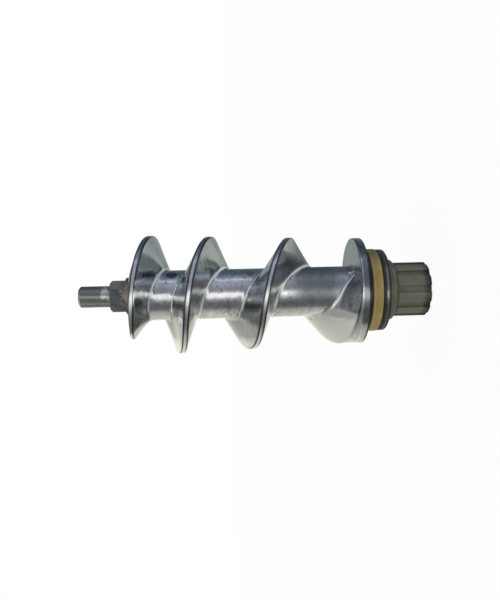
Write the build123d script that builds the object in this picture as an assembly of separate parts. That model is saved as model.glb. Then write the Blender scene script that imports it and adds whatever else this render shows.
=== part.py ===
from build123d import *
import math
import os

# Meat grinder auger, in millimetres. It stands on the flat end of its drive coupling,
# with the screw's axis along +Z and the knife pin at the top. Stations along the screw
# are measured from the tip of the pin towards the drive end, as on a turned shaft.

# Lengths along the screw, from the tip of the pin to the drive end
pin_length = 11.4
hexagon_length = 5.7
boss_length = 3.1
screw_length = 80.3
disc_thickness = 3.1
shoulder_length = 1.6
seal_width = 3.9
flange_thickness = 2.9
collar_length = 3.7
spigot_length = 12.5

# Knife pin and its hexagon
pin_radius = 3.9
pin_chamfer = 0.7
hexagon_across_flats = 10.0
hexagon_corner_chamfer = 0.7
shank_radius = 4.0
shank_length = 18.0
shank_groove_depth = 0.5
shank_groove_width = 1.6
shank_groove_pitch = 6.0
shank_groove_count = 2

# Cast screw body
boss_radius = 6.8
boss_edge_chamfer = 0.5
core_radius = 9.1
rim_radius_front = 22.1
disc_radius = 19.5
rim_step_at_disc = 0.1
disc_edge_chamfer = 0.3
disc_root_chamfer = 0.9
shoulder_radius = 15.0
journal_radius = 11.0
drive_square = 10.5
drive_square_corner = 1.0
drive_square_length = 12.4

# Flight: a left-handed tapered rib whose lead grows towards the drive end
flight_offset = 1.8
first_lead = 15.6
lead_growth = 7.7
mould_swing = 0.485
mould_swing_turn = 0.145
flight_start_turn = -0.3
flight_full_turn = -0.1
stations_per_turn = 18
land_width = 2.0
front_flank_runs = [(0.25, 3.8), (0.75, 2.5), (1.0, 4.8), (1.5, 5.0), (1.75, 5.5), (2.0, 5.4)]
rear_flank_runs = [(-0.3, 6.2), (-0.05, 3.9), (0.25, 4.4), (0.75, 3.8), (1.25, 4.6), (1.5, 4.0),
                   (1.75, 4.8), (2.0, 3.9), (2.25, 5.6), (2.6, 4.0)]
root_blend_height = 2.2
root_blend_share = 0.4
root_blend_run = 1.2
root_blend_sink = 0.25
runout_height = 0.3
buried_depth = 3.0

# Where the last turn of the flight grows into the disc, in turns before their meeting
fill_start = 0.45
fill_end = 0.25
fill_width = 6.5
swell_turn = 0.2
swell_reach = 0.22
swell_run = 4.2

# Seal ring, which fits closely on the casting's journal
seal_wall = 4.3
seal_edge_chamfer = 0.45

# Drive coupling
flange_step_below_seal = 0.2
flange_edge_chamfer = 0.4
collar_radius = 11.2
collar_taper = 1.0
spigot_radius = 10.0
spigot_end_chamfer = 0.5
groove_count = 10
groove_width = 2.4
groove_depth = 1.1
socket_clearance = 0.1
web_thickness = 2.4
recess_radius = 6.4

# Retaining screw and washer
screw_radius = 2.5
screw_hole_clearance = 0.25
thread_clearance = 0.05
screw_length_under_head = 18.0
screw_head_radius = 4.4
screw_head_height = 2.2
screw_head_chamfer = 0.8
cross_slot_width = 1.1
cross_slot_length = 4.6
cross_slot_depth = 1.5
washer_radius = 5.6
washer_thickness = 1.0
thread_hole_extra = 2.0

# Radii and stations that follow from the sizes above
rim_radius_rear = disc_radius - rim_step_at_disc
seal_radius = journal_radius + seal_wall
flange_radius = seal_radius - flange_step_below_seal
hexagon_start = pin_length
boss_start = hexagon_start + hexagon_length
screw_front = boss_start + boss_length
disc_front = screw_front + screw_length
disc_back = disc_front + disc_thickness
seal_start = disc_back + shoulder_length
seal_end = seal_start + seal_width
flange_end = seal_end + flange_thickness
collar_end = flange_end + collar_length
overall_length = collar_end + spigot_length
square_end = seal_end + drive_square_length
washer_seat = square_end + web_thickness
head_seat = washer_seat + washer_thickness


def height(station):
    """Height above the coupling's flat end of a station along the screw."""
    return overall_length - station


def turned(outline):
    """Solid of revolution about the screw's axis from (radius, station) points."""
    points = [Vector(radius, 0, height(station)) for radius, station in outline]
    face = make_face(Polyline(points, close=True))
    return revolve(face, Axis.Z, 360)


def rod(radius, first, last):
    """Plain cylinder on the screw's axis between two stations."""
    middle = (height(first) + height(last)) / 2
    return Pos(0, 0, middle) * Cylinder(radius, last - first)


def circle_edges_at(part, radius, station):
    """The part's circular edges of one radius at one station."""
    def chosen(edge):
        if edge.geom_type != GeomType.CIRCLE:
            return False
        same_radius = abs(edge.radius - radius) < 0.01
        return same_radius and abs(edge.center().Z - height(station)) < 0.01
    return part.edges().filter_by(chosen)


def between(table, turn):
    """Value of a table of (turn, value) pairs at one turn, eased from pair to pair."""
    if turn <= table[0][0]:
        return table[0][1]
    for (first, low), (last, high) in zip(table, table[1:]):
        if turn <= last:
            share = (turn - first) / (last - first)
            eased = share * share * (3 - 2 * share)
            return low + (high - low) * eased
    return table[-1][1]


def flight_centre(turn):
    """Station of the middle of the flight's land.

    The lead grows from turn to turn. On top of that the flight runs steeper where it
    faces the two mould halves and squarer to the axis at the mould's parting line.
    """
    lead = first_lead + lead_growth * turn
    swing = math.sin(4 * math.pi * (turn - mould_swing_turn)) / (4 * math.pi)
    steady = flight_offset + first_lead * turn + lead_growth * turn * turn / 2
    return screw_front + steady + mould_swing * lead * swing


def turn_at(station):
    """Turn at which the middle of the flight first reaches a station."""
    turn = 0.0
    while flight_centre(turn) < station:
        turn += 1 / 360
    return turn


def rim_radius(station):
    """Radius of the screw's outer edge, which is slimmer towards the drive end."""
    share = (station - screw_front) / screw_length
    return rim_radius_front + (rim_radius_rear - rim_radius_front) * share


def rise_at(turn, station):
    """Height above the core of the flight's rim, which runs out at the front end."""
    full = rim_radius(station) - core_radius
    if turn >= flight_full_turn:
        return full
    share = (turn - flight_start_turn) / (flight_full_turn - flight_start_turn)
    return runout_height + (full - runout_height) * max(share, 0)


def flight_section(turn, meeting_turn):
    """Closed outline of the flight in the half-plane through the axis at one turn."""
    angle = math.radians(360 * turn - 90)
    before = meeting_turn - turn

    def at(above_core, station):
        radius = core_radius + above_core
        return Vector(radius * math.cos(angle), radius * math.sin(angle), height(station))

    def side(edge, run, sign):
        rise = rise_at(turn, edge)
        blend = min(root_blend_height, root_blend_share * rise)
        foot = edge + sign * run * (rise - blend) / rise
        root = edge + sign * (run + root_blend_run)
        return at(rise, edge), at(blend, foot), at(-root_blend_sink, root), at(-buried_depth, root)

    near_swell = max(0, 1 - ((before - swell_turn) / swell_reach) ** 2)
    front_run = between(front_flank_runs, turn) + swell_run * near_swell ** 2
    fill = between([(-fill_start, 0), (-fill_end, fill_width)], -before)
    front_edge = flight_centre(turn) - land_width / 2
    rear_edge = front_edge + land_width + fill
    rim_f, foot_f, root_f, deep_f = side(front_edge, front_run, -1)
    rim_r, foot_r, root_r, deep_r = side(rear_edge, between(rear_flank_runs, turn), 1)
    edges = [
        Line(deep_f, root_f),
        TangentArc(foot_f, root_f, tangent=foot_f - rim_f),
        Line(foot_f, rim_f),
        Line(rim_f, rim_r),
        Line(rim_r, foot_r),
        TangentArc(foot_r, root_r, tangent=foot_r - rim_r),
        Line(root_r, deep_r),
        Line(deep_r, deep_f),
    ]
    return Wire([edge.edge() for edge in edges])


def flight():
    """The helical flight, lofted through its sections and cut square at the screw's front."""
    meeting_turn = turn_at(disc_front)
    deepest_run = front_flank_runs[-1][1] + root_blend_run + land_width
    last_turn = turn_at(disc_back + deepest_run)
    count = round((last_turn - flight_start_turn) * stations_per_turn)
    step = (last_turn - flight_start_turn) / count
    turns = [flight_start_turn + step * number for number in range(count + 1)]
    rib = Solid.make_loft([flight_section(turn, meeting_turn) for turn in turns])
    return rib & rod(rim_radius_front * 2, screw_front, disc_front + disc_thickness / 2)


def screw_body():
    """The casting: boss, core, flight, rear disc, seal journal and drive square."""
    trunk = turned([
        (0, boss_start), (boss_radius, boss_start), (boss_radius, screw_front),
        (core_radius, screw_front), (core_radius, disc_front), (disc_radius, disc_front),
        (disc_radius, disc_back), (shoulder_radius, disc_back), (shoulder_radius, seal_start),
        (journal_radius, seal_start), (journal_radius, seal_end), (0, seal_end),
    ])
    trunk = chamfer(circle_edges_at(trunk, boss_radius, boss_start), boss_edge_chamfer)
    trunk = chamfer(circle_edges_at(trunk, core_radius, disc_front), disc_root_chamfer)
    trunk = chamfer(circle_edges_at(trunk, disc_radius, disc_back), disc_edge_chamfer)
    square = Box(drive_square, drive_square, drive_square_length)
    square = fillet(square.edges().filter_by(Axis.Z), drive_square_corner)
    square = Pos(0, 0, height(seal_end) - drive_square_length / 2) * square
    shank_hole = rod(shank_radius, boss_start, boss_start + shank_length)
    hole_bottom = head_seat - screw_length_under_head - thread_hole_extra
    screw_hole = rod(screw_radius + thread_clearance, hole_bottom, square_end)
    return trunk + flight() + square - shank_hole - screw_hole


def knife_pin():
    """Steel pin with its hexagon for the knife, and the grooved shank held in the casting."""
    pin = rod(pin_radius, 0, hexagon_start)
    pin = chamfer(circle_edges_at(pin, pin_radius, 0), pin_chamfer)
    corner_radius = hexagon_across_flats / math.sqrt(3)
    block = extrude(RegularPolygon(corner_radius, 6, rotation=0), hexagon_length)
    block = Pos(0, 0, height(boss_start)) * block
    corner_cone = turned([
        (0, hexagon_start), (corner_radius - hexagon_corner_chamfer, hexagon_start),
        (corner_radius, hexagon_start + hexagon_corner_chamfer),
        (corner_radius, boss_start), (0, boss_start),
    ])
    shank = rod(shank_radius, boss_start, boss_start + shank_length)
    groove = rod(shank_radius * 2, 0, shank_groove_width)
    groove -= rod(shank_radius - shank_groove_depth, 0, shank_groove_width)
    for number in range(1, shank_groove_count + 1):
        shank -= Pos(0, 0, -boss_start - number * shank_groove_pitch) * groove
    return pin + (block & corner_cone) + shank


def seal_ring():
    """Moulded seal between the casting's shoulder and the coupling's flange."""
    ring = rod(seal_radius, seal_start, seal_end)
    for station in (seal_start, seal_end):
        ring = chamfer(circle_edges_at(ring, seal_radius, station), seal_edge_chamfer)
    return ring - rod(journal_radius, seal_start, seal_end)


def drive_coupling():
    """Plastic coupling: flange behind the seal, collar and grooved drive spigot."""
    body = turned([
        (0, seal_end), (flange_radius, seal_end), (flange_radius, flange_end),
        (collar_radius, flange_end), (collar_radius, collar_end - collar_taper),
        (spigot_radius, collar_end), (spigot_radius, overall_length), (0, overall_length),
    ])
    body = chamfer(circle_edges_at(body, flange_radius, flange_end), flange_edge_chamfer)
    body = chamfer(circle_edges_at(body, spigot_radius, overall_length), spigot_end_chamfer)
    groove = Box(groove_width, 2 * groove_depth, spigot_length)
    for number in range(groove_count):
        turn = Rot(0, 0, number * 360 / groove_count)
        body -= turn * Pos(0, -spigot_radius, spigot_length / 2) * groove
    square_side = drive_square + 2 * socket_clearance
    socket = Box(square_side, square_side, drive_square_length)
    socket = Pos(0, 0, height(square_end) + drive_square_length / 2) * socket
    recess = rod(recess_radius, washer_seat, overall_length)
    screw_hole = rod(screw_radius + screw_hole_clearance, square_end, overall_length)
    return body - socket - recess - screw_hole


def washer():
    """Flat steel washer in the coupling's recess."""
    disc = rod(washer_radius, washer_seat, head_seat)
    return disc - rod(screw_radius + screw_hole_clearance, washer_seat, head_seat)


def retaining_screw():
    """Pan-head screw with a cross slot, which clamps the coupling to the casting."""
    top = head_seat + screw_head_height
    head = rod(screw_head_radius, head_seat, top)
    head = chamfer(circle_edges_at(head, screw_head_radius, top), screw_head_chamfer)
    for angle in (0, 90):
        slot = Box(cross_slot_length, cross_slot_width, cross_slot_depth)
        head -= Pos(0, 0, height(top) + cross_slot_depth / 2) * Rot(0, 0, angle) * slot
    return head + rod(screw_radius, head_seat - screw_length_under_head, head_seat)


parts = {
    "screw_body": screw_body(),
    "knife_pin": knife_pin(),
    "seal_ring": seal_ring(),
    "drive_coupling": drive_coupling(),
    "washer": washer(),
    "retaining_screw": retaining_screw(),
}

os.makedirs("parts", exist_ok=True)
for name, shape in parts.items():
    export_step(shape, f"parts/{name}.step")
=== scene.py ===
import bpy
import math
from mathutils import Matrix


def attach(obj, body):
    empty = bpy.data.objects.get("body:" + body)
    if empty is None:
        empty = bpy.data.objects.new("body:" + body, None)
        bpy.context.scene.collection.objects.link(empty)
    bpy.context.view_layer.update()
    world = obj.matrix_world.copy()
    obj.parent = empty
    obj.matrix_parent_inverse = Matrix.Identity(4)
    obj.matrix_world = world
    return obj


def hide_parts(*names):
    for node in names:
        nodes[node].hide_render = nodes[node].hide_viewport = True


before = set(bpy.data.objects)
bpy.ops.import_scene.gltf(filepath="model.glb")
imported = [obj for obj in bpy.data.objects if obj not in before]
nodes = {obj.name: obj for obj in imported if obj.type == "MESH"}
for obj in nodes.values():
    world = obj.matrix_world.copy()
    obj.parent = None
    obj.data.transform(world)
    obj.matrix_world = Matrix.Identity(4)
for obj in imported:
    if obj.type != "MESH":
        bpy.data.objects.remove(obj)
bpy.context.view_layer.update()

# Camera. It looks at the screw from the side, level with the front turns of the flight,
# with the knife pin at the left and the coupling at the right of the picture.
camera = bpy.data.objects.new("camera", bpy.data.cameras.new("camera"))
bpy.context.collection.objects.link(camera)
camera.location = (0, -0.244735, 0.078511)
camera.rotation_euler = [math.radians(angle) for angle in (-26.72096, 86.65779, -116.15199)]
camera.data.lens = 39.6
camera.data.sensor_width = 36
camera.data.clip_start = 0.01
bpy.context.scene.camera = camera

# Casting. One polished aluminium casting: boss, core, left-handed flight, rear disc, shoulder,
# journal and drive square. The flight is swept round the core section by section, and each
# section runs from the middle of one channel over the flight's land to the middle of the next.

# Lengths are in mm, and stations are measured along the axis from the tip of the knife pin.
boss_start = 17.1
screw_front = 20.2
screw_length = 80.3
disc_front = 100.5
disc_back = 103.6
seal_start = 105.2
journal_end = 109.1
square_end = 121.5
overall_length = 128.2
shank_hole_radius = 4.0
shank_hole_end = 35.1
screw_hole_radius = 2.55
screw_hole_end = 104.9
boss_radius = 6.8
boss_chamfer = 0.6
boss_root = 0.35
core_radius = 9.1
rim_front = 22.1
rim_rear = 19.4
disc_radius = 19.5
disc_fillet = 1.2
disc_front_edge = 0.3
disc_front_round = 0.09
disc_back_edge = 0.4
rim_merge = 0.6
shoulder_radius = 15.0
shoulder_root = 0.3
shoulder_chamfer = 0.2
root_middle = 0.1
journal_radius = 11.0
square_side = 10.5
square_corner = 1.0

land_width = 2.0
land_rounding = 0.42
rounding_share = 0.1
root_fillet = 2.2
fillet_share = 0.4
root_reach = 1.2
least_rise = 0.001
least_step = 0.0001
first_land = 1.8
first_lead = 15.6
lead_growth = 7.7
lead_swing = 0.485
swing_turn = 0.145
run_out_start = -0.3
run_out_turns = 0.2
swell_middle = 0.2
swell_reach = 0.22
swell_run = 4.2
filled_widths = [(-0.45, 0), (-0.25, 6.5)]
front_flank_runs = [(0.25, 3.8), (0.75, 2.5), (1.0, 4.8), (1.5, 5.0), (1.75, 5.5), (2.0, 5.4)]
rear_flank_runs = [(-0.3, 6.2), (-0.05, 3.9), (0.25, 4.4), (0.75, 3.8), (1.25, 4.6), (1.5, 4.0),
                   (1.75, 4.8), (2.0, 3.9), (2.25, 5.6), (2.6, 4.0)]

land_mark = 1
land_side_mark = 0.6
edge_mark = 0.5
plain_mark = 0
root_mark = -1

columns = 240
hollow_steps = 8
hollow_middle = hollow_steps // 2 - 1
flank_steps = 8
edge_steps = 4
land_steps = 4
channel_steps = 9
fillet_steps = 6
plain_steps = channel_steps - fillet_steps


def between(table, turn):
    """Value of a table of (turn, value) pairs at one turn, eased from pair to pair."""
    if turn <= table[0][0]:
        return table[0][1]
    for (first, low), (last, high) in zip(table, table[1:]):
        if turn <= last:
            share = (turn - first) / (last - first)
            return low + (high - low) * share * share * (3 - 2 * share)
    return table[-1][1]


def flight_centre(turn):
    """Station of the middle of the flight's land at one turn."""
    lead = first_lead + lead_growth * turn
    swing = math.sin(4 * math.pi * (turn - swing_turn)) / (4 * math.pi)
    grown = first_lead * turn + lead_growth / 2 * turn * turn
    return screw_front + first_land + grown + lead_swing * lead * swing


# The turn at which the land meets the disc, to one degree.
meeting_turn = next(degree / 360 for degree in range(1500)
                    if flight_centre(degree / 360) >= disc_front)


def curve_points(start, middle, end, count):
    """Points on a parabola from start to end that leaves and arrives along its middle point."""
    points = []
    for number in range(1, count):
        t = number / count
        points.append(tuple((1 - t) ** 2 * a + 2 * t * (1 - t) * b + t * t * c
                            for a, b, c in zip(start, middle, end)))
    return points


def line_points(start, end, count):
    """Evenly spaced points after the start, up to and with the end."""
    return [tuple(a + (b - a) * number / count for a, b in zip(start, end))
            for number in range(1, count + 1)]


def marked(points, mark):
    """The same (station, radius) points as (station, radius, mark)."""
    return [(point[0], point[1], mark) for point in points]


def flight_path(turn):
    """(station, radius, mark) points over the flight, from its front root to its rear root.

    The mark is 1 on the land, which rubs on the housing, 0.6 at the land's sides, 0.5 on the
    rounded edges, 0 on the flanks and -1 along the middle of the roots.
    """
    before = meeting_turn - turn
    swell = max(0, 1 - ((before - swell_middle) / swell_reach) ** 2)
    front_run = between(front_flank_runs, turn) + swell_run * swell ** 2
    rear_run = between(rear_flank_runs, turn)
    front_edge = flight_centre(turn) - land_width / 2
    rear_edge = front_edge + land_width + between(filled_widths, -before)
    path = []
    for edge, run, sign in ((front_edge, front_run, -1), (rear_edge, rear_run, 1)):
        rim = rim_front + (rim_rear - rim_front) * (edge - screw_front) / screw_length
        grown = min(1, max(0, (turn - run_out_start) / run_out_turns))
        rise = (rim - core_radius) * grown
        fillet = min(root_fillet, fillet_share * rise)
        rounding = min(land_rounding, rise * rounding_share)
        root = (edge + sign * (run + root_reach), core_radius)
        foot = (edge + sign * run * (rise - fillet) / max(rise, least_rise), core_radius + fillet)
        flank_top = (edge + sign * run * rounding / max(rise, least_rise),
                     core_radius + rise - rounding)
        top = (edge, core_radius + rise)
        land_side = (edge - sign * rounding, core_radius + rise)
        side = [(*root, plain_mark)]
        hollow = curve_points(root, (edge + sign * run, core_radius), foot, hollow_steps)
        side += [(s, r, abs(number - hollow_middle) / hollow_middle + root_mark)
                 for number, (s, r) in enumerate(hollow)]
        side += marked([foot] + line_points(foot, flank_top, flank_steps), plain_mark)
        side += marked(curve_points(flank_top, top, land_side, edge_steps), edge_mark)
        side.append((*land_side, land_side_mark))
        if sign > 0:
            path += marked(line_points(path[-1], side[-1], land_steps)[:-1], land_mark)
            side.reverse()
        path += side
    return path


def trunk_radius(station):
    """Radius of the core, which spreads in a fillet where it meets the disc."""
    into = station - (disc_front - disc_fillet)
    if into <= 0:
        return core_radius
    return core_radius + disc_fillet - math.sqrt(max(0, disc_fillet ** 2 - min(into, disc_fillet) ** 2))


def channel(start, end):
    """Stations along the core from one point to another, closer together in the disc's fillet."""
    fillet_start = disc_front - disc_fillet
    if end < disc_front or start >= fillet_start:
        return [start + (end - start) * number / channel_steps for number in range(1, channel_steps)]
    plain = [start + (fillet_start - start) * number / plain_steps
             for number in range(1, plain_steps + 1)]
    return plain + [fillet_start + disc_fillet * math.sin(math.pi / 2 * number / fillet_steps)
                    for number in range(1, fillet_steps)]


def trunk_points(start, end):
    """Points along the core between two stations."""
    return [(station, trunk_radius(station), plain_mark) for station in channel(start, end)]


def radius_where(station, here, there):
    """Radius at a station on the line from one point to the next."""
    share = (station - here[0]) / max(there[0] - here[0], least_step)
    return here[1] + (there[1] - here[1]) * min(max(share, 0), 1)


def casting_section(turn, start):
    """Points of one section over the flight, cut square at the screw's front and at the disc."""
    path = flight_path(turn)
    after = flight_path(turn + 1)
    front_root = max(start[0], min(path[0][0], disc_front))
    rear_root = max(screw_front, min(path[-1][0], disc_front))
    next_root = max(screw_front, min(after[0][0], disc_front))
    finish = max(rear_root, (rear_root + next_root) / 2)
    points = [start] + trunk_points(start[0], front_root)
    points += [(station, max(radius, trunk_radius(station)), mark) for station, radius, mark in path]
    points += trunk_points(rear_root, finish)
    points.append((finish, trunk_radius(finish), plain_mark))
    early = [number for number, point in enumerate(points) if point[0] < screw_front]
    if early:
        last = early[-1]
        cut_radius = radius_where(screw_front, points[last], points[min(last + 1, len(points) - 1)])
        for number in early:
            points[number] = (screw_front, min(points[number][1], cut_radius), plain_mark)
    late = [number for number, point in enumerate(points) if point[0] > disc_front]
    if late or start[0] >= disc_front:
        first = 1 if start[0] >= disc_front else late[0]
        cut_radius = radius_where(disc_front, points[first - 1], points[first])
        cut_mark = land_mark if cut_radius > disc_radius - rim_merge else plain_mark
        for number in range(first, len(points)):
            points[number] = (disc_front, cut_radius, cut_mark)
    return points


def square_radius(angle, half, corner):
    """Distance from the axis to a rounded square's side at one angle."""
    across = abs(math.cos(angle))
    along = abs(math.sin(angle))
    if along > across:
        across, along = along, across
    flat = half / across
    if flat * along <= half - corner:
        return flat
    inset = half - corner
    reach = inset * (across + along)
    return reach + math.sqrt(max(0, reach ** 2 - 2 * inset ** 2 + corner ** 2))


boss_edge = (boss_start + boss_chamfer, boss_radius)
boss_face = (boss_start, boss_radius - boss_chamfer)
front_lathe = [(screw_front, boss_radius + boss_root, plain_mark),
               (screw_front - root_middle, boss_radius + root_middle, root_mark),
               (screw_front - boss_root, boss_radius, plain_mark)]
front_lathe += marked(line_points(front_lathe[-1], boss_edge, 3), plain_mark)
front_lathe += marked(curve_points(boss_edge, (boss_start, boss_radius), boss_face, 5), land_mark)
front_lathe += marked([boss_face, (boss_start, shank_hole_radius), (shank_hole_end, shank_hole_radius)],
                      plain_mark)

disc_edge = (disc_back - disc_back_edge, disc_radius)
disc_face = (disc_back, disc_radius - disc_back_edge)
rear_lathe = [(disc_front, disc_radius - disc_front_edge, plain_mark),
              (disc_front + disc_front_round, disc_radius - disc_front_round, edge_mark),
              (disc_front + disc_front_edge, disc_radius, land_mark)]
rear_lathe += marked(line_points(rear_lathe[-1], disc_edge, 4), land_mark)
rear_lathe += marked(curve_points(disc_edge, (disc_back, disc_radius), disc_face, 5), edge_mark)
rear_lathe += marked(line_points(disc_face, (disc_back, shoulder_radius + shoulder_root), 3), plain_mark)
rear_lathe.append((disc_back + root_middle, shoulder_radius + root_middle, root_mark))
rear_lathe += marked([(disc_back + shoulder_root, shoulder_radius),
                      (seal_start - shoulder_chamfer, shoulder_radius),
                      (seal_start, shoulder_radius - shoulder_chamfer),
                      (seal_start, journal_radius), (journal_end, journal_radius)], plain_mark)

casting_points = []
casting_marks = []
casting_faces = []
point_numbers = {}


def casting_point(angle, point):
    """Number of the vertex at an angle and a (station, radius, mark) point, made once."""
    station, radius, mark = point
    place = (radius * math.cos(angle), radius * math.sin(angle), overall_length - station)
    key = tuple(round(value, 3) for value in place)
    if key not in point_numbers:
        point_numbers[key] = len(casting_points)
        casting_points.append([value / 1000 for value in place])
        casting_marks.append(mark)
    return point_numbers[key]


def casting_strip(left, right):
    """Faces between two neighbouring rows of vertex numbers, less what has shrunk to nothing."""
    for a, b, c, d in zip(left, left[1:], right[1:], right):
        corners = []
        for number in (a, b, c, d):
            if number not in corners:
                corners.append(number)
        if len(corners) > 2:
            casting_faces.append(corners)


first_row = -columns
last_row = 4 * columns
rows = {}
for row in range(first_row, last_row + 1):
    start = (screw_front, core_radius, plain_mark)
    if row - columns >= first_row:
        start = rows[row - columns][-1]
    rows[row] = casting_section(row / columns, start)
previous = None
for row in range(first_row, last_row):
    angle = math.tau * (row % columns) / columns - math.pi / 2
    numbers = [casting_point(angle, point) for point in rows[row]]
    if previous:
        casting_strip(previous, numbers)
    previous = numbers
casting_strip(previous, [casting_point(-math.pi / 2, point) for point in rows[last_row]])

front_strips = []
rear_strips = []
for column in range(columns):
    angle = math.tau * column / columns - math.pi / 2
    front = [rows[column - columns][0]] + front_lathe
    front_strips.append([casting_point(angle, point) for point in front]
                        + [casting_point(0, (shank_hole_end, 0, plain_mark))])
    front_strips[-1].reverse()
    cut = rows[last_row - columns + column][-1]
    rim_edge = marked(line_points(cut, rear_lathe[0], 5), plain_mark) + [rear_lathe[1]]
    if cut[1] > disc_radius - rim_merge:
        rim_edge = marked(rim_edge, land_mark)
    square = square_radius(angle, square_side / 2, square_corner)
    end = marked([(journal_end, square), (square_end, square),
                  (square_end, screw_hole_radius), (screw_hole_end, screw_hole_radius)], plain_mark)
    rear = [cut] + rim_edge + rear_lathe[2:] + end
    rear_strips.append([casting_point(angle, point) for point in rear]
                       + [casting_point(0, (screw_hole_end, 0, plain_mark))])
for strips in (front_strips, rear_strips):
    for column in range(columns):
        casting_strip(strips[column], strips[(column + 1) % columns])

casting_mesh = bpy.data.meshes.new("auger_casting")
casting_mesh.from_pydata(casting_points, [], casting_faces)
edge_marks = casting_mesh.attributes.new("edge_marks", "FLOAT", "POINT")
edge_marks.data.foreach_set("value", [float(mark) for mark in casting_marks])
casting = bpy.data.objects.new("auger_casting", casting_mesh)
bpy.context.collection.objects.link(casting)


def select_only(piece):
    """Makes one piece the only selected and active object."""
    bpy.ops.object.select_all(action="DESELECT")
    piece.select_set(True)
    bpy.context.view_layer.objects.active = piece


select_only(casting)
bpy.ops.object.mode_set(mode="EDIT")
bpy.ops.mesh.select_all(action="SELECT")
bpy.ops.mesh.normals_make_consistent(inside=False)
bpy.ops.object.mode_set(mode="OBJECT")
bpy.ops.object.shade_smooth_by_angle(angle=math.radians(35))
weights = casting.modifiers.new("weighted normals", "WEIGHTED_NORMAL")
weights.keep_sharp = True


class Looks:
    """Short ways to add and link the nodes of one node tree. Colours are three numbers."""

    def __init__(self, tree):
        self.tree = tree

    def add(self, kind, inputs=None, **settings):
        """Adds a node with its settings, and sets or links its inputs."""
        node = self.tree.nodes.new(kind)
        for key, value in settings.items():
            setattr(node, key, value)
        for key, value in (inputs or {}).items():
            if isinstance(value, bpy.types.NodeSocket):
                self.tree.links.new(value, node.inputs[key])
            else:
                node.inputs[key].default_value = value
        return node

    def give(self, node, **inputs):
        """Links sockets to a node's inputs, which are named with _ for a space."""
        for name, socket in inputs.items():
            self.tree.links.new(socket, node.inputs[name.replace("_", " ")])

    def maths(self, operation, *values):
        """The result of an operation on numbers and sockets."""
        return self.add("ShaderNodeMath", dict(enumerate(values)), operation=operation).outputs["Value"]

    def times(self, first, *others):
        """The product of numbers and sockets."""
        for other in others:
            first = self.maths("MULTIPLY", first, other)
        return first

    def gap(self, value, centre):
        """How far a value is from a centre."""
        return self.maths("ABSOLUTE", self.maths("SUBTRACT", value, centre))

    def fade(self, value, start, end, low=0.0, high=1.0):
        """Goes from low to high as the value goes from start to end, and stays there."""
        return self.add("ShaderNodeMapRange", {"Value": value, "From Min": start, "From Max": end,
                                               "To Min": low, "To Max": high}).outputs["Result"]

    def swap(self, value, low, high):
        """Goes from low to high as the value goes from 0 to 1."""
        return self.fade(value, 0.0, 1.0, low, high)

    def level(self, share, first, second):
        """A number between two, nearer the second as the share grows."""
        return self.add("ShaderNodeMix", {0: share, 2: first, 3: second}, data_type="FLOAT").outputs[0]

    def blend(self, share, first, second, **settings):
        """A colour between two, nearer the second as the share grows."""
        first, second = [colour if isinstance(colour, bpy.types.NodeSocket) else (*colour, 1)
                         for colour in (first, second)]
        return self.add("ShaderNodeMix", {0: share, 6: first, 7: second}, data_type="RGBA",
                        **settings).outputs[2]

    def ramp(self, value, stops):
        """A colour that follows (position, colour) stops."""
        node = self.add("ShaderNodeValToRGB", {"Fac": value})
        elements = node.color_ramp.elements
        while len(elements) < len(stops):
            elements.new(0.5)
        for element, (position, colour) in zip(elements, stops):
            element.position = position
            element.color = (*colour, 1)
        return node.outputs["Color"]

    def noise(self, vector, scale, detail, roughness, distortion=0.0):
        """A cloudy value from 0 to 1."""
        return self.add("ShaderNodeTexNoise", {"Vector": vector, "Scale": scale, "Detail": detail,
                                               "Roughness": roughness,
                                               "Distortion": distortion}).outputs["Fac"]

    def moved(self, vector, location=(0, 0, 0), scale=(1, 1, 1), rotation=(0, 0, 0)):
        """A place that is moved, stretched or turned."""
        return self.add("ShaderNodeMapping", {"Vector": vector, "Location": location, "Scale": scale,
                                              "Rotation": rotation}).outputs["Vector"]

    def length(self, vector):
        """The length of a vector."""
        return self.add("ShaderNodeVectorMath", {0: vector}, operation="LENGTH").outputs["Value"]

    def along(self, vector, axis):
        """How far a place is along X, Y or Z."""
        return self.add("ShaderNodeSeparateXYZ", {"Vector": vector}).outputs[axis]

    def bump(self, height, strength, distance, **under):
        """The normal of a surface raised by a height, over the Normal under it if one is given."""
        return self.add("ShaderNodeBump", {"Height": height, "Strength": strength,
                                           "Distance": distance, **under}).outputs["Normal"]


grain_group = bpy.data.node_groups.new("surface_grain", "ShaderNodeTree")
for socket, kind in (("Place", "Vector"), ("Cloud Scale", "Float"), ("Grain Scale", "Float"),
                     ("Glossy", "Float"), ("Dull", "Float")):
    grain_group.interface.new_socket(socket, in_out="INPUT", socket_type="NodeSocket" + kind)
for socket in ("Cloud", "Roughness", "Grain"):
    grain_group.interface.new_socket(socket, in_out="OUTPUT", socket_type="NodeSocketFloat")
look = Looks(grain_group)
given = look.add("NodeGroupInput").outputs
cloud = look.noise(given["Place"], given["Cloud Scale"], 6.0, 0.68)
look.add("NodeGroupOutput", {"Cloud": cloud,
                             "Roughness": look.fade(cloud, 0.3, 0.7, given["Glossy"], given["Dull"]),
                             "Grain": look.noise(given["Place"], given["Grain Scale"], 3.0, 0.6)})


def new_material(name):
    """A new material with its shader and the looks of its node tree."""
    material = bpy.data.materials.new(name)
    material.use_nodes = True
    return material, material.node_tree.nodes["Principled BSDF"], Looks(material.node_tree)


def grained_material(name, cloud_scale, grain_scale, glossy, dull):
    """A new material, also with the place on its piece and the outputs of its surface grain."""
    material, shader, look = new_material(name)
    place = look.add("ShaderNodeTexCoord").outputs["Object"]
    wear = look.add("ShaderNodeGroup", {"Place": place, "Cloud Scale": cloud_scale,
                                        "Grain Scale": grain_scale, "Glossy": glossy, "Dull": dull},
                    node_tree=grain_group).outputs
    return material, shader, look, place, wear


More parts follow.
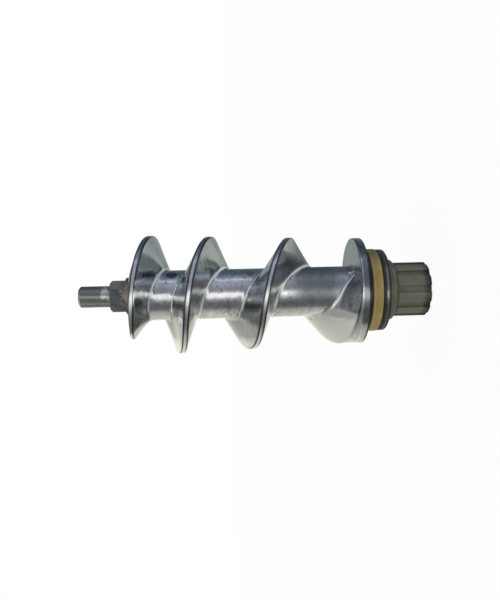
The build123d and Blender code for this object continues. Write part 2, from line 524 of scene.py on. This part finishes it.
polish, shader, look, place, wear = grained_material("polished_casting", 300.0, 700.0, 0.07, 0.22)
side = look.along(place, "X")
height = look.along(place, "Z")
flat_place = look.add("ShaderNodeVectorMath", {0: place, 1: (1, 1, 0)}, operation="MULTIPLY")
from_axis = look.length(flat_place.outputs["Vector"])
slope = look.along(look.add("ShaderNodeNewGeometry").outputs["Normal"], "Z")
stretched = look.moved(place, scale=(1, 1, 2.2))
marks = look.add("ShaderNodeAttribute", attribute_name="edge_marks").outputs["Fac"]
painted_shade_tone = (0.11, 0.125, 0.14)
slant_rise = 0.36
slant_height = 0.0365

# The areas of the casting. Up in the picture is +X, and +Z is towards the knife pin.
on_core = look.fade(from_axis, 0.0102, 0.0093)
land = look.fade(marks, land_side_mark, 0.95)
off_land = look.swap(land, 1.0, 0.0)
root = look.fade(marks, -0.35, -0.95)
edge_shade_line = look.fade(look.gap(marks, edge_mark), 0.35, 0.1)
front_flank = look.fade(slope, 0.35, 0.6)
rear_flank = look.fade(slope, -0.25, -0.5)
boss = look.fade(height, 0.1079, 0.1084)
first_turn = look.fade(height, 0.1000, 0.1025)
later_turns = look.fade(height, 0.1000, 0.0970)
front_turns = look.fade(height, 0.045, 0.052)
rear_turns = look.fade(height, 0.0530, 0.0465)
last_turn = look.fade(height, 0.0420, 0.0400)
below = look.fade(side, -0.0075, -0.0105)

# Cloudy metal with a polished land and a scuffed core. The land is painted darker and bluer on its upper
# side, a painted dark reflection.
tone = look.ramp(look.noise(stretched, 90.0, 6.0, 0.62, 0.6),
                 [(0.28, (0.34, 0.37, 0.38)), (0.42, (0.54, 0.56, 0.57)), (0.58, (0.64, 0.65, 0.655)),
                  (0.72, (0.76, 0.77, 0.77))])
upper_land = look.fade(side, 0.006, 0.014)
land_tone_and_reflection = look.blend(upper_land, (0.66, 0.67, 0.66), (0.40, 0.43, 0.47))
scuffs = look.fade(look.noise(stretched, 340.0, 4.0, 0.6, 1.2), 0.585, 0.66)
colour = look.blend(land, tone, land_tone_and_reflection)
colour = look.blend(look.times(scuffs, on_core, 0.7), colour, (0.13, 0.15, 0.17))

# Painted shade: a grey tone above the middle of the rear turns and low on the front turns, which dims
# their reflections. The rear part is also made duller below.
by_disc = look.fade(height, 0.0310, 0.0370, 0.5, 1.0)
above_middle = look.fade(side, -0.0058, -0.0028)
rear_shade_and_dull = look.times(rear_turns, by_disc, above_middle)
flank_start = look.fade(slope, 0.2, 0.45)
second_turn = look.fade(height, 0.080, 0.086, 0.65, 1.3)
inner_flank = look.fade(from_axis, 0.0155, 0.0178, 1.0, 0.1)
beside = look.fade(side, -0.0042, -0.0066)
low_flank = look.times(flank_start, second_turn, inner_flank, beside)
off_tip = look.fade(side, -0.0185, -0.0155)
low_painted_shade = look.times(front_turns, look.maths("MAXIMUM", below, low_flank), off_tip)
painted_shade = look.times(look.maths("MAXIMUM", rear_shade_and_dull, low_painted_shade), look.swap(land, 0.71, 0.0))
colour = look.blend(painted_shade, colour, painted_shade_tone)

# Painted highlights along the roots, which fade on the lower side, and painted light on the lower front
# flank of the filled last turn. Both are also less metallic.
painted_root_highlight = look.times(root, look.fade(side, -0.0082, -0.0048, 0.15, 1.0))
colour = look.blend(painted_root_highlight, colour, (0.98, 0.98, 0.97))
slant = look.maths("MULTIPLY_ADD", height, -slant_rise, slant_height * slant_rise)
under_slant = look.fade(look.maths("ADD", side, slant), -0.0052, -0.0062)
last_flank_light = look.times(last_turn, front_flank, under_slant)
colour = look.blend(last_flank_light, colour, (0.54, 0.54, 0.515))

# Painted shade: dark lines along the land's edges, faint on the last turn's lower side, and a painted
# dark spot for a dent's dark reflection.
edge_shade_left = look.swap(look.times(last_turn, below), 1.0, 0.2)
colour = look.blend(look.times(edge_shade_line, edge_shade_left), colour, (0.09, 0.10, 0.11))
from_dent = look.moved(place, location=(-0.0071, 0.0057, -0.0941))
dent_shade = look.fade(look.length(look.moved(from_dent, scale=(560, 560, 470))), 1.15, 0.8)
colour = look.blend(dent_shade, colour, (0.13, 0.15, 0.20))

# The disc's rim with painted shade, darker on its upper side, painted shade from its back edge on, and
# the dull boss with painted shade on its lower side.
rim = look.fade(height, 0.0274, 0.0270)
off_bottom = look.fade(side, -0.0125, -0.0112)
upper_rim = look.fade(side, 0.003, 0.011, 0.72, 0.84)
colour = look.blend(look.times(rim, off_bottom, upper_rim), colour, (0.12, 0.135, 0.17))
# Painted shade from the disc's back edge on, where it meets the seal.
colour = look.blend(look.fade(height, 0.0254, 0.0251), colour, (0.045, 0.05, 0.055))
boss_low = look.fade(side, -0.0030, -0.0055)
boss_tone_and_shade = look.blend(boss_low, (0.27, 0.245, 0.220), (0.050, 0.046, 0.042))
colour = look.blend(boss, colour, boss_tone_and_shade)

# Two painted highlight bands on the first turn's rear flank, made glossy too, and a band of painted
# shade on the later ones.
in_middle = look.fade(look.gap(side, -0.0006), 0.0036, 0.0018)
in_high = look.fade(look.gap(side, 0.0044), 0.0011, 0.0004)
painted_gleam_and_gloss = look.times(rear_flank, first_turn, look.maths("MAXIMUM", in_middle, in_high), off_land)
colour = look.blend(painted_gleam_and_gloss, colour, (0.98, 0.98, 0.96))
off_disc = look.fade(height, 0.0300, 0.0400)
in_above = look.fade(look.gap(side, 0.0008), 0.0045, 0.0022, 0.0, 0.5)
outer_flank = look.fade(from_axis, 0.0108, 0.0128)
rear_flank_shade = look.times(rear_flank, later_turns, off_disc, in_above, outer_flank, off_land)
colour = look.blend(rear_flank_shade, colour, painted_shade_tone)

# Gloss, and the waves of the cast surface under its fine grain.
disc_side = look.fade(height, 0.0279, 0.0276)
land_rough = look.swap(disc_side, 0.24, 0.10)
rough = look.level(rear_shade_and_dull, wear["Roughness"], 0.42)
rough = look.level(painted_gleam_and_gloss, rough, 0.05)
rough = look.level(land, rough, land_rough)
rough = look.level(boss, rough, 0.45)
swing = look.maths("SUBTRACT", look.noise(stretched, 110.0, 2.5, 0.55), 0.5)
waves = look.bump(look.times(swing, look.swap(on_core, 0.55, 1.0)), 0.55, 0.0006)
look.give(shader, Base_Color=colour, Roughness=rough,
          Metallic=look.swap(look.maths("MAXIMUM", painted_root_highlight, last_flank_light), 1.0, 0.3),
          Normal=look.bump(wear["Grain"], 0.30, 0.00012, Normal=waves))
casting.data.materials.append(polish)
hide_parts("screw_body")
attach(casting, "root")


# Knife pin. Turned steel pin with a chamfered tip and a milled hexagon that drives the knife,
# pressed into the casting by its grooved shank. Light rust has started on the hexagon.
def dressed_copy(node, name, edge_width, flat_angle=30.0):
    """A merged, smooth copy of a node with softly rounded edges, which stands for the node."""
    source = nodes[node]
    piece = bpy.data.objects.new(name, source.data.copy())
    bpy.context.collection.objects.link(piece)
    piece.data.materials.clear()
    select_only(piece)
    bpy.ops.object.mode_set(mode="EDIT")
    bpy.ops.mesh.select_all(action="SELECT")
    bpy.ops.mesh.remove_doubles(threshold=0.000002)
    bpy.ops.mesh.dissolve_limited(angle_limit=math.radians(0.5))
    bpy.ops.object.mode_set(mode="OBJECT")
    bpy.ops.object.shade_smooth_by_angle(angle=math.radians(flat_angle))
    soft = piece.modifiers.new("soft edges", "BEVEL")
    soft.width = edge_width
    soft.segments = 2
    soft.limit_method = "ANGLE"
    soft.angle_limit = math.radians(flat_angle)
    soft.harden_normals = True
    bpy.ops.object.modifier_apply(modifier=soft.name)
    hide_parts(node)
    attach(piece, "root")
    return piece


pin = dressed_copy("knife_pin", "steel_knife_pin", 0.00012)
pin_steel, shader, look, place, wear = grained_material("pin_steel", 420.0, 1800.0, 0.20, 0.34)
side = look.along(place, "X")
height = look.along(place, "Z")
patches = wear["Cloud"]

# The round pin, rubbed behind its tip, with painted light below its middle.
rubbed_end = look.fade(height, 0.1212, 0.1198)
rubbed = look.fade(look.times(rubbed_end, patches), 0.42, 0.58)
colour = look.blend(rubbed, (0.20, 0.207, 0.20), (0.56, 0.57, 0.54))
# Painted light below the pin's middle.
colour = look.blend(look.fade(side, -0.0008, -0.0018, 0.0, 0.75), colour, (0.37, 0.38, 0.34))

# The oxidised hexagon, with painted light on its top flat, painted shade on its low one, and rust at its
# back that is painted lighter on the middle flat.
on_hexagon = look.fade(height, 0.1172, 0.1164)
top_flat = look.fade(side, 0.0026, 0.0030)
oxide_and_top_light = look.blend(top_flat, (0.048, 0.060, 0.071), (0.23, 0.225, 0.215))
colour = look.blend(on_hexagon, colour, oxide_and_top_light)
# Painted shade on the hexagon's low flat.
colour = look.blend(look.fade(side, -0.0026, -0.0031, 0.0, 0.72), colour, (0.010, 0.011, 0.012))
rust_side = look.fade(height, 0.1142, 0.1129)
rust_here = look.times(rust_side, patches)
rust = look.fade(rust_here, 0.34, 0.56)
middle = look.fade(look.gap(side, 0.0), 0.0036, 0.0018)
rust_middle_light = look.times(look.fade(patches, 0.44, 0.56), middle)
rust_tone = look.blend(rust_middle_light, (0.105, 0.088, 0.074), (0.34, 0.235, 0.170))
colour = look.blend(rust, colour, rust_tone)
dulled = look.maths("MAXIMUM", look.times(on_hexagon, 0.5), rust)
turned_rings = look.noise(look.moved(place, scale=(0.05, 0.05, 1)), 6000.0, 3.0, 0.6)
rings = look.bump(turned_rings, 0.12, 0.00005)
look.give(shader, Base_Color=colour, Metallic=look.swap(dulled, 0.84, 0.1),
          Roughness=look.level(rust, wear["Roughness"], 0.8),
          Normal=look.bump(rust_here, 0.4, 0.0001, Normal=rings))
pin.data.materials.append(pin_steel)

# Seal ring. Moulded ochre rubber ring between the casting's shoulder and the coupling's flange,
# with painted highlights at its two edges and painted shade at its back end and on its upper side.
seal = dressed_copy("seal_ring", "ochre_seal_ring", 0.0001)
seal_rubber, shader, look, place, wear = grained_material("seal_rubber", 160.0, 1500.0, 0.44, 0.58)
tone = look.ramp(wear["Cloud"], [(0.3, (0.27, 0.200, 0.050)), (0.7, (0.37, 0.275, 0.078))])
# Painted shade on the seal's upper side.
upper = look.fade(look.along(place, "X"), 0.008, 0.0135, 0.0, 0.75)
tone = look.blend(upper, tone, (0.055, 0.050, 0.028))
# Painted highlights at the seal's edges and painted shade at its back end, multiplied on its tone.
axial_tone_and_light_bands = look.ramp(look.fade(look.along(place, "Z"), 0.019, 0.023),
                  [(0.06, (0.95, 1.0, 1.5)), (0.11, (1.35, 1.38, 1.8)), (0.18, (1, 1, 1)),
                   (0.74, (0.95, 0.95, 0.95)), (0.82, (1.3, 1.33, 1.9)), (0.92, (1.05, 1.1, 1.5)),
                   (1.0, (0.4, 0.45, 0.7))])
look.give(shader, Base_Color=look.blend(1.0, tone, axial_tone_and_light_bands, blend_type="MULTIPLY"),
          Roughness=wear["Roughness"], Normal=look.bump(wear["Grain"], 0.15, 0.00005))
seal.data.materials.append(seal_rubber)

# Drive coupling. Moulded grey-olive plastic with a flange, a tapered collar and a grooved spigot,
# held to the casting's square by a screw in its end recess. The bands run from painted shade at the
# end of the spigot over painted dark lines and light bands on the collar to the dark flange, which has
# a painted highlight on its edge, with a wet line round the collar. Its upper side has painted shade.
coupling = dressed_copy("drive_coupling", "grooved_drive_coupling", 0.00015)
coupling_plastic, shader, look, place, wear = grained_material("coupling_plastic", 220.0, 1800.0,
                                                               0.42, 0.58)
side = look.along(place, "X")
height = look.along(place, "Z")
tone = look.ramp(wear["Cloud"], [(0.3, (0.105, 0.109, 0.078)), (0.7, (0.150, 0.154, 0.111))])
# Painted shade on the coupling's upper side.
tone = look.blend(look.fade(side, 0.0070, 0.0092, 0.0, 0.65), tone, (0.030, 0.032, 0.028))
# Bands along the axis: painted shade at the spigot's end, painted dark lines and light bands on the
# collar, and the dark flange with a painted highlight on its edge.
axial_tone_and_light_bands = look.ramp(look.fade(height, 0.0, 0.02),
                  [(0.0, (0.05, 0.05, 0.05)), (0.05, (0.25, 0.25, 0.26)), (0.11, (0.55, 0.55, 0.58)),
                   (0.16, (1, 1, 1)), (0.605, (1, 1, 1)), (0.625, (0.22, 0.21, 0.18)),
                   (0.65, (0.7, 0.69, 0.66)), (0.71, (1.05, 1.03, 0.98)), (0.735, (0.7, 0.68, 0.64)),
                   (0.775, (1.35, 1.33, 1.3)), (0.80, (0.8, 0.78, 0.75)), (0.815, (0.05, 0.05, 0.05)),
                   (0.84, (0.08, 0.08, 0.08)), (0.872, (0.65, 0.67, 0.72)), (0.888, (0.4, 0.4, 0.42)),
                   (0.905, (0.09, 0.09, 0.09)), (1.0, (0.09, 0.09, 0.09))])
wet_line = look.fade(look.gap(height, 0.0176), 0.0005, 0.0003)
wiped = look.fade(look.gap(side, 0.0014), 0.0070, 0.0045)
look.give(shader, Base_Color=look.blend(1.0, tone, axial_tone_and_light_bands, blend_type="MULTIPLY"),
          Roughness=wear["Roughness"], Normal=look.bump(wear["Grain"], 0.2, 0.00005),
          Coat_Weight=look.times(wet_line, wiped))
shader.inputs["Coat Roughness"].default_value = 0.06
shader.inputs["Coat IOR"].default_value = 2.4
coupling.data.materials.append(coupling_plastic)

# Washer and retaining screw. Zinc-plated steel with a cloudy plating, down in the coupling's end
# recess, where they clamp the coupling to the casting.
screw_steel, shader, look, place, wear = grained_material("screw_steel", 500.0, 2500.0, 0.22, 0.40)
zinc = look.ramp(wear["Cloud"], [(0.3, (0.44, 0.45, 0.44)), (0.55, (0.57, 0.58, 0.59)),
                                 (0.75, (0.66, 0.66, 0.64))])
look.give(shader, Base_Color=zinc, Roughness=wear["Roughness"],
          Normal=look.bump(wear["Grain"], 0.2, 0.00004))
shader.inputs["Metallic"].default_value = 1.0
for node, name in (("washer", "steel_washer"), ("retaining_screw", "steel_retaining_screw")):
    piece = dressed_copy(node, name, 0.0001)
    piece.data.materials.append(screw_steel)

# Floor and light. A white floor and a white surround light the auger evenly. Round it stands a
# ring of grey and blue-grey cards, with a white gap in front, which only the metal mirrors.
floor_size = 6
card_ring = 0.6
card_ring_height = 1.8
bpy.ops.object.select_all(action="DESELECT")
bpy.ops.mesh.primitive_grid_add(x_subdivisions=2, y_subdivisions=2, size=floor_size, location=(0, 0, 0))
floor = bpy.context.active_object
floor.name = "floor"
floor_white, shader, look = new_material("floor_white")
shader.inputs["Base Color"].default_value = (0.95, 0.95, 0.95, 1)
shader.inputs["Roughness"].default_value = 0.9
shader.inputs["Specular IOR Level"].default_value = 0.0
glow = look.add("ShaderNodeEmission", {"Strength": 1.0}).outputs["Emission"]
camera_share = look.times(look.add("ShaderNodeLightPath").outputs["Is Camera Ray"], 0.93)
mixed = look.add("ShaderNodeMixShader", {"Fac": camera_share, 1: shader.outputs["BSDF"], 2: glow})
look.give(look.tree.nodes["Material Output"], Surface=mixed.outputs["Shader"])
floor.data.materials.append(floor_white)

bpy.ops.object.select_all(action="DESELECT")
bpy.ops.mesh.primitive_cylinder_add(vertices=96, radius=card_ring, depth=card_ring_height,
                                    end_fill_type="NOTHING", location=(0, 0, 0.6))
cards = bpy.context.active_object
cards.name = "ring_of_cards"
bpy.ops.object.transform_apply(location=True, rotation=False, scale=False)

# Each tone stands at its angle round the auger, in degrees from the front; + is towards +X.
ring_tones = [(-180, (1.02, 1.00, 0.88)), (-130, (0.90, 0.88, 0.76)), (-96, (0.60, 0.61, 0.55)),
              (-84, (0.48, 0.49, 0.45)), (-74, (0.24, 0.25, 0.24)), (-64, (0.16, 0.17, 0.17)),
              (-40, (0.175, 0.175, 0.185)), (-27, (0.42, 0.42, 0.43)), (-19, (0.80, 0.80, 0.80)),
              (-12, (1.40, 1.40, 1.38)), (2, (1.40, 1.40, 1.38)), (8, (0.42, 0.42, 0.45)),
              (24, (0.31, 0.31, 0.36)), (42, (0.44, 0.47, 0.56)), (61, (0.42, 0.47, 0.58)),
              (65, (1.02, 1.07, 1.16)), (69, (0.42, 0.48, 0.60)), (82, (0.24, 0.29, 0.37)),
              (105, (0.10, 0.13, 0.18)), (140, (0.10, 0.13, 0.15)), (156, (0.30, 0.35, 0.36)),
              (180, (0.38, 0.43, 0.42))]
floor_tones = [(-180, (0.42, 0.435, 0.39)), (-60, (0.38, 0.395, 0.36)), (-32, (0.34, 0.35, 0.34)),
               (-23, (0.50, 0.50, 0.49)), (-16, (1.35, 1.35, 1.33)), (-6, (1.35, 1.35, 1.33)),
               (1, (0.38, 0.38, 0.39)), (22, (0.26, 0.26, 0.28)), (42, (0.28, 0.29, 0.32)),
               (54, (0.56, 0.62, 0.74)), (68, (0.60, 0.66, 0.78)), (78, (0.32, 0.35, 0.37)),
               (92, (0.30, 0.34, 0.33)), (112, (0.46, 0.49, 0.45)), (180, (0.52, 0.55, 0.51))]
card_tones, shader, look = new_material("card_tones")
place = look.add("ShaderNodeTexCoord").outputs["Object"]
turned = look.moved(place, rotation=(0, 0, math.radians(90)))
around = look.add("ShaderNodeTexGradient", {"Vector": turned}, gradient_type="RADIAL").outputs["Fac"]
ring, floor_ring = [look.ramp(around, [((angle + 180) / 360, colour) for angle, colour in tones])
                    for tones in (ring_tones, floor_tones)]
near = look.fade(look.length(place), 0.15, 0.09)
glow = look.add("ShaderNodeEmission", {"Color": look.blend(near, ring, floor_ring), "Strength": 1.0})
look.give(look.tree.nodes["Material Output"], Surface=glow.outputs["Emission"])
cards.data.materials.append(card_tones)

bpy.ops.object.select_all(action="DESELECT")
bpy.ops.mesh.primitive_circle_add(vertices=64, radius=card_ring, fill_type="NGON",
                                  location=(0, 0, 0.0004))
mat_card = bpy.context.active_object
mat_card.name = "floor_card"
mat_card.data.materials.append(card_tones)
for card in (cards, mat_card):
    card.visible_camera = False
    card.visible_diffuse = False
    card.visible_shadow = False
    card.visible_transmission = False

world = bpy.data.worlds.new("surround")
bpy.context.scene.world = world
world.use_nodes = True
look = Looks(world.node_tree)
across = look.along(look.add("ShaderNodeTexCoord").outputs["Generated"], "X")
surround = look.ramp(look.fade(across, -1, 1), [(0.0, (0.95, 0.95, 0.93)), (1.0, (0.80, 0.80, 0.82))])
seen = look.add("ShaderNodeLightPath").outputs
mirrored = look.maths("MAXIMUM", seen["Is Camera Ray"], seen["Is Glossy Ray"])
look.give(look.tree.nodes["Background"], Color=look.blend(mirrored, surround, (1, 1, 1)))

bpy.context.scene.view_settings.view_transform = "Standard"
